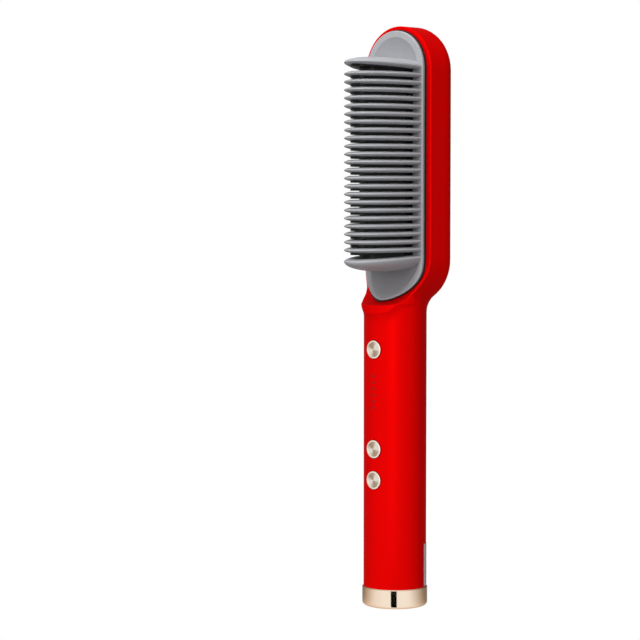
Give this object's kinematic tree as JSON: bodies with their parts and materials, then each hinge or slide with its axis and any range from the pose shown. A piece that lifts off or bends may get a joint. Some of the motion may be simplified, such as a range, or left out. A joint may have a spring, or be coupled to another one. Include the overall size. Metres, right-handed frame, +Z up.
{
  "type": "hot comb",
  "caption": "Electric heated comb brush: round handle with push buttons, oblong head with arched comb teeth over a black heating comb, metal end ring.",
  "frame": {"origin": "on the handle's axis at the mouth of the cord inlet, in the plane of the lower face of the end ring that the comb stands on", "axes": "+Z up the handle to the head, teeth point to -Y, +X to the right when the teeth are looked at"},
  "size_m": [0.043, 0.0518, 0.28],
  "materials": {
    "black_rubber": "matt",
    "board": "solder mask",
    "ceramic": "fired ceramic",
    "clear_plastic": "smoked clear",
    "coated_aluminium": "glossy black ceramic coat",
    "dark_plastic": "moulded",
    "film": "polyimide film",
    "grey_comb": "fine satin",
    "label": "matt film",
    "mica": "mica sheet",
    "plated": "turned",
    "red_shell": "satin paint",
    "rose_gold": "polished rose gold",
    "steel": "plain",
    "wire": "silicone sleeve"
  },
  "bodies": {
    "handset": {"back_panel": "red_shell", "back_trim_ring": "rose_gold", "board_screws": "steel", "clamp_screws": "steel", "comb_cover": "grey_comb", "control_board": "board", "cover_gasket": "black_rubber", "cover_screws": "steel", "electrolytic_capacitor": "dark_plastic", "end_plug": "dark_plastic", "end_ring": "rose_gold", "end_screws": "steel", "film_capacitor": "film", "heat_shield": "mica", "heater_comb": "coated_aluminium", "heater_leads": "wire", "heater_screws": "steel", "housing_shell": "red_shell", "inner_frame": "dark_plastic", "insulating_film": "film", "leds": "label", "light_guide": "clear_plastic", "mains_fuse": "ceramic", "mains_leads": "wire", "microcontroller": "dark_plastic", "pressure_plate": "steel", "ptc_heaters": "ceramic", "rating_label": "label", "sensor_leads": "wire", "tact_switches": "dark_plastic", "thermal_fuse": "steel", "thermistor": "ceramic", "triac": "dark_plastic", "wire_terminals": "dark_plastic"},
    "power_key": {"power_button": "plated", "power_plunger": "dark_plastic"},
    "plus_key": {"plus_button": "plated", "plus_plunger": "dark_plastic"},
    "minus_key": {"minus_button": "plated", "minus_plunger": "dark_plastic"},
    "cord_swivel": {"swivel_bush": "dark_plastic", "swivel_clip": "steel"}
  },
  "joints": [
    {"name": "power_press", "type": "slide", "parent": "handset", "child": "power_key", "axis": [0, 1, 0], "range_m": [0, 0.0005], "stiffness_N_per_m": 2500},
    {"name": "plus_press", "type": "slide", "parent": "handset", "child": "plus_key", "axis": [0, 1, 0], "range_m": [0, 0.0005], "stiffness_N_per_m": 2500},
    {"name": "minus_press", "type": "slide", "parent": "handset", "child": "minus_key", "axis": [0, 1, 0], "range_m": [0, 0.0005], "stiffness_N_per_m": 2500},
    {"name": "cord_swivel_turn", "type": "hinge", "parent": "handset", "child": "cord_swivel", "pos_m": [0, 0, 0.008], "axis": [0, 0, 1], "continuous": true}
  ]
}
